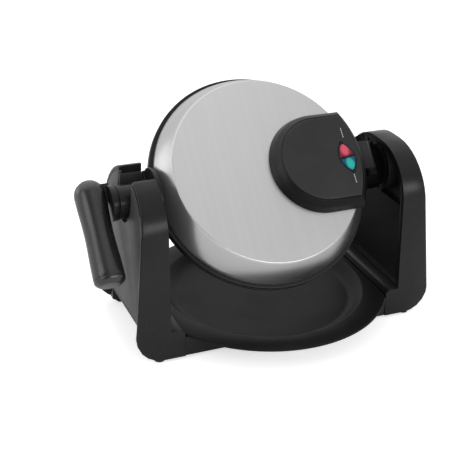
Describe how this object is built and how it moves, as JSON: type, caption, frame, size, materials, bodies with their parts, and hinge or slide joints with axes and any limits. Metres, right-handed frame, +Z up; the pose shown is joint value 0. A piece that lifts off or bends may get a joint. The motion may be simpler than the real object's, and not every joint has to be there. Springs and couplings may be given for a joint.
{
  "type": "flip waffle maker",
  "caption": "Round waffle maker whose hinged head turns over between two arched uprights, with a folding grip, signal lights and a lift-out drip tray.",
  "frame": {"origin": "middle of the bounding box, on the surface that the foot pads stand on", "axes": "+X along the turning axis from the grip to the lid hinge, +Y to the back, +Z up; the head is stored tilted 45 degrees to the front, as pictured"},
  "size_m": [0.3448, 0.248, 0.2275],
  "materials": {
    "black_plastic": "satin moulded plastic with a fine grain",
    "side_cover_plastic": "satin moulded plastic, a little lighter",
    "tray_plastic": "smooth satin plastic",
    "brushed_steel": "fine brushed top, smoother shoulder",
    "bright_steel": "smooth",
    "coated_aluminium": "dark non-stick coating",
    "heater_sheath": "dull drawn tube",
    "bearing_plastic": "smooth bearing plastic",
    "rubber": "matt",
    "grip_plastic": "soft satin",
    "thermostat_ceramic": "matt pale body",
    "red_lens": "translucent",
    "green_lens": "translucent",
    "lens_frame_plastic": "glossy"
  },
  "bodies": {
    "stand": {"left_upright": "black_plastic", "left_side_cover": "side_cover_plastic", "right_upright": "black_plastic", "right_side_cover": "side_cover_plastic", "front_crossbar": "black_plastic", "rear_crossbar": "black_plastic", "foot_pad_front_left": "rubber", "foot_pad_front_right": "rubber", "foot_pad_rear_left": "rubber", "foot_pad_rear_right": "rubber", "crossbar_screw_front_left": "bright_steel", "crossbar_screw_front_right": "bright_steel", "crossbar_screw_rear_left": "bright_steel", "crossbar_screw_rear_right": "bright_steel", "cradle_liner": "bearing_plastic", "hub_bearing": "bearing_plastic", "cord_gland": "rubber"},
    "tray": {"drip_tray": "tray_plastic"},
    "head": {"lower_shell": "brushed_steel", "lower_bezel": "black_plastic", "lower_waffle_plate": "coated_aluminium", "lower_heater": "heater_sheath", "lower_thermostat": "thermostat_ceramic", "lower_cover": "black_plastic", "lower_panel": "black_plastic", "hinge_yoke": "black_plastic", "hinge_pin": "bright_steel", "hub_shaft": "black_plastic", "hub_retainer": "bright_steel", "journal": "black_plastic", "grip_bracket": "black_plastic"},
    "lid": {"lid_shell": "brushed_steel", "lid_bezel": "black_plastic", "lid_waffle_plate": "coated_aluminium", "lid_heater": "heater_sheath", "lid_thermostat": "thermostat_ceramic", "console_housing": "black_plastic", "console_panel": "black_plastic", "lens_frame": "lens_frame_plastic", "green_light": "green_lens", "red_light": "red_lens"},
    "folding_grip": {"grip": "grip_plastic", "grip_cap": "grip_plastic", "fold_pin": "bright_steel"}
  },
  "joints": [
    {"name": "head_turn", "type": "hinge", "parent": "stand", "child": "head", "pos_m": [0.00805, 0, 0.14], "axis": [1, 0, 0], "range_deg": [-45, 45]},
    {"name": "lid_hinge", "type": "hinge", "parent": "head", "child": "lid", "pos_m": [0.11405, -0.0198, 0.1598], "axis": [0, 0.7071, 0.7071], "range_deg": [0, 90]},
    {"name": "grip_fold", "type": "hinge", "parent": "head", "child": "folding_grip", "pos_m": [-0.15765, 0.00707, 0.14707], "axis": [0, 0.7071, -0.7071], "range_deg": [0, 90]},
    {"name": "tray_lift", "type": "slide", "parent": "stand", "child": "tray", "axis": [0, 0, 1], "range_m": [0, 0.01]}
  ]
}
